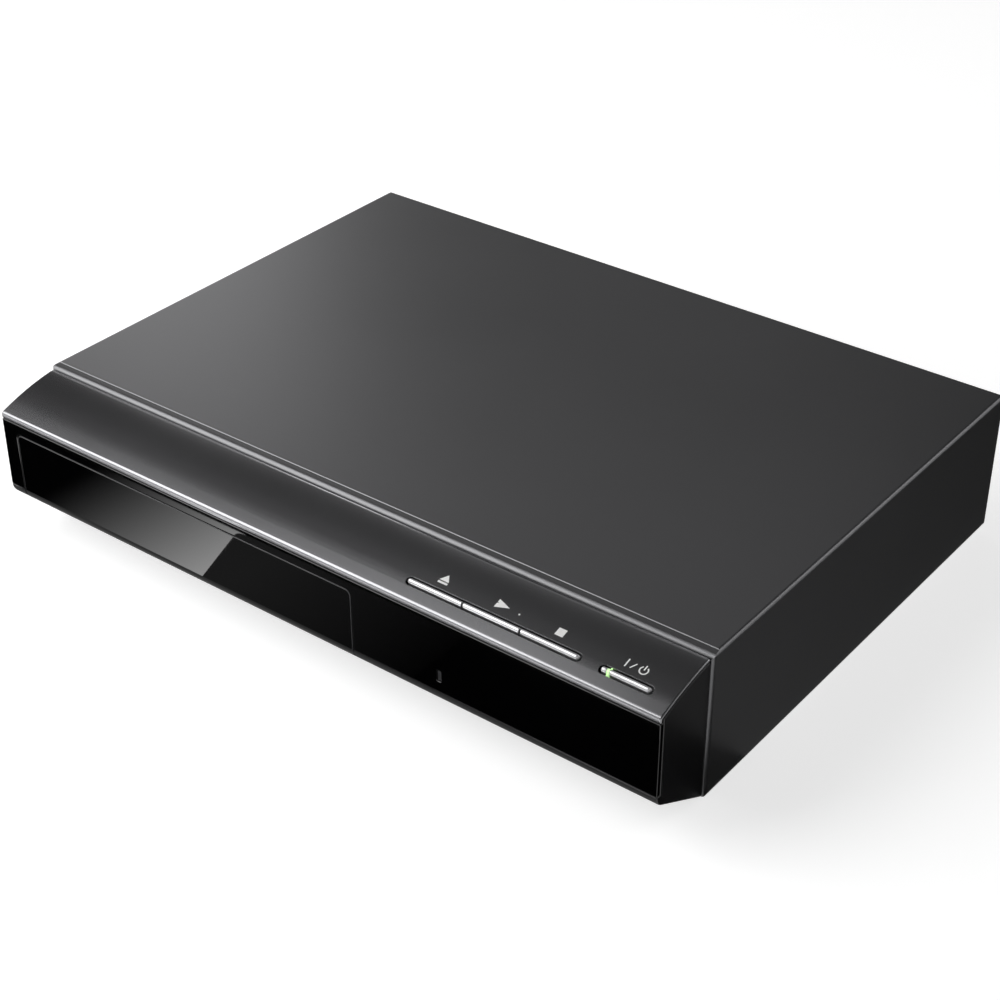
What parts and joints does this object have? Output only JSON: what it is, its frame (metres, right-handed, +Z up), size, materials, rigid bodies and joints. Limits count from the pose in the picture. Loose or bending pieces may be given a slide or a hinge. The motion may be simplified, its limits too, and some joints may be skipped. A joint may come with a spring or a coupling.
{
  "type": "dvd player with tray",
  "caption": "Slim tabletop disc player with a motor-driven disc tray in front, keys on a sloping panel above it, and phono jacks at the rear.",
  "frame": {"origin": "on the table, under the middle of the player's bounding box", "axes": "+X to the right seen from the front, +Y to the rear, +Z up"},
  "size_m": [0.27, 0.211, 0.0545],
  "materials": {
    "cover_paint": "satin black paint",
    "sheet_steel": "galvanised sheet",
    "panel_paint": "matte black paint",
    "bezel_plastic": "satin black",
    "gloss_black": "polished",
    "gunmetal": "metallic satin",
    "key_silver": "satin plated",
    "lamp_green": "clear green",
    "foot_rubber": "matte",
    "tray_plastic": "fine satin",
    "frame_plastic": "moulded",
    "gear_plastic": "natural acetal",
    "belt_rubber": "smooth",
    "brass_part": "turned",
    "steel_rod": "ground",
    "motor_can": "plated",
    "damper_rubber": "soft",
    "pickup_metal": "die cast",
    "lens_glass": "coated",
    "board_green": "solder mask",
    "board_tan": "paper laminate",
    "chip_black": "moulded",
    "can_blue": "shrink sleeve",
    "coil_yellow": "tape",
    "fin_aluminium": "extruded",
    "jack_metal": "nickel plated",
    "ring_yellow": "moulded",
    "ring_white": "moulded",
    "ring_red": "moulded",
    "ring_green": "moulded",
    "ring_blue": "moulded",
    "ring_orange": "moulded",
    "screw_black": "black zinc",
    "screw_steel": "zinc",
    "ribbon_white": "film"
  },
  "bodies": {
    "case": {"top_cover": "cover_paint", "base_pan": "sheet_steel", "rear_panel": "panel_paint", "front_bezel": "bezel_plastic", "front_lens": "gloss_black", "control_panel": "gunmetal", "feet": "foot_rubber", "front_board": "board_tan", "key_switches": "chip_black", "power_led": "lamp_green", "sensor_board": "board_tan", "ir_receiver": "chip_black", "loader_frame": "frame_plastic", "clamp_bridge": "sheet_steel", "loading_motor": "motor_can", "drive_belt": "belt_rubber", "main_board": "board_green", "board_chips": "chip_black", "board_capacitors": "can_blue", "power_board": "board_tan", "transformer": "coil_yellow", "power_capacitors": "can_blue", "heat_sink": "fin_aluminium", "line_filter": "chip_black", "jack_block": "chip_black", "jack_shells": "jack_metal", "ring_yellow": "ring_yellow", "ring_white": "ring_white", "ring_red": "ring_red", "ring_green": "ring_green", "ring_blue": "ring_blue", "ring_orange": "ring_orange", "cord_gland": "foot_rubber", "cover_screws": "screw_black", "chassis_screws": "screw_steel", "front_ribbon": "ribbon_white"},
    "tray": {"tray_door": "gloss_black", "disc_tray": "tray_plastic"},
    "eject": {"eject_key": "key_silver"},
    "play": {"play_key": "key_silver"},
    "stop": {"stop_key": "key_silver"},
    "power": {"power_key": "key_silver", "power_light": "lamp_green"},
    "gear": {"tray_gear": "gear_plastic"},
    "pulley": {"pulley_gear": "gear_plastic"},
    "motor_spindle": {"motor_pulley": "brass_part"},
    "lift": {"lift_frame": "frame_plastic", "traverse_plate": "sheet_steel", "dampers": "damper_rubber", "spindle_motor": "motor_can", "guide_rods": "steel_rod", "feed_motor": "motor_can"},
    "spindle": {"turntable": "frame_plastic", "turntable_pad": "foot_rubber"},
    "clamp": {"clamper": "frame_plastic", "clamper_cap": "sheet_steel"},
    "sled": {"pickup": "pickup_metal", "objective_lens": "lens_glass"},
    "screw": {"feed_screw": "steel_rod"},
    "cam": {"cam_slider": "gear_plastic"}
  },
  "joints": [
    {"name": "tray_slide", "type": "slide", "parent": "case", "child": "tray", "axis": [0, -1, 0], "range_m": [0, 0.135]},
    {"name": "tray_gear_spin", "type": "hinge", "parent": "case", "child": "gear", "pos_m": [0.00205, -0.078, 0.0262], "axis": [0, 0, 1], "range_deg": [0, 775.49]},
    {"name": "pulley_spin", "type": "hinge", "parent": "case", "child": "pulley", "pos_m": [0.01237, -0.0657, 0.0242], "axis": [0, 0, 1], "range_deg": [-1291.16, 0]},
    {"name": "loading_motor_spin", "type": "hinge", "parent": "case", "child": "motor_spindle", "pos_m": [0.008, -0.038, 0.0212], "axis": [0, 0, 1], "range_deg": [-4001.46, 0]},
    {"name": "pickup_lift", "type": "hinge", "parent": "case", "child": "lift", "pos_m": [-0.0525, 0.058, 0.018], "axis": [-1, 0, 0], "range_deg": [0, 5.4]},
    {"name": "cam_slide", "type": "slide", "parent": "case", "child": "cam", "axis": [1, 0, 0], "range_m": [0, 0.0201]},
    {"name": "disc_spin", "type": "hinge", "parent": "lift", "child": "spindle", "pos_m": [-0.0525, -0.03635, 0.02791], "axis": [0, -0.0941, 0.9956], "continuous": true},
    {"name": "clamp_spin", "type": "hinge", "parent": "case", "child": "clamp", "pos_m": [-0.0525, -0.035, 0.0392], "axis": [0, 0, 1], "continuous": true},
    {"name": "sled_slide", "type": "slide", "parent": "lift", "child": "sled", "axis": [0, 0.9956, 0.0941], "range_m": [0, 0.036]},
    {"name": "feed_screw_spin", "type": "hinge", "parent": "lift", "child": "screw", "pos_m": [-0.0265, 0.00472, 0.01849], "axis": [0, 0.9956, 0.0941], "range_deg": [0, 4325]},
    {"name": "eject_press", "type": "slide", "parent": "case", "child": "eject", "axis": [0, 0.3027, -0.9531], "range_m": [0, 0.0008], "stiffness_N_per_m": 900, "springref_m": -0.0006},
    {"name": "play_press", "type": "slide", "parent": "case", "child": "play", "axis": [0, 0.3027, -0.9531], "range_m": [0, 0.0008], "stiffness_N_per_m": 900, "springref_m": -0.0006},
    {"name": "stop_press", "type": "slide", "parent": "case", "child": "stop", "axis": [0, 0.3027, -0.9531], "range_m": [0, 0.0008], "stiffness_N_per_m": 900, "springref_m": -0.0006},
    {"name": "power_press", "type": "slide", "parent": "case", "child": "power", "axis": [0, 0.3027, -0.9531], "range_m": [0, 0.0008], "stiffness_N_per_m": 900, "springref_m": -0.0006}
  ],
  "couplings": [
    {"joint": "tray_gear_spin", "follows": "tray_slide", "rad_per_m": 100},
    {"joint": "pulley_spin", "follows": "tray_slide", "rad_per_m": -166.67},
    {"joint": "loading_motor_spin", "follows": "tray_slide", "rad_per_m": -516.81},
    {"joint": "cam_slide", "follows": "pickup_lift", "m_per_rad": 0.21221},
    {"joint": "clamp_spin", "follows": "disc_spin", "ratio": 1},
    {"joint": "feed_screw_spin", "follows": "sled_slide", "rad_per_m": 2094.4}
  ]
}
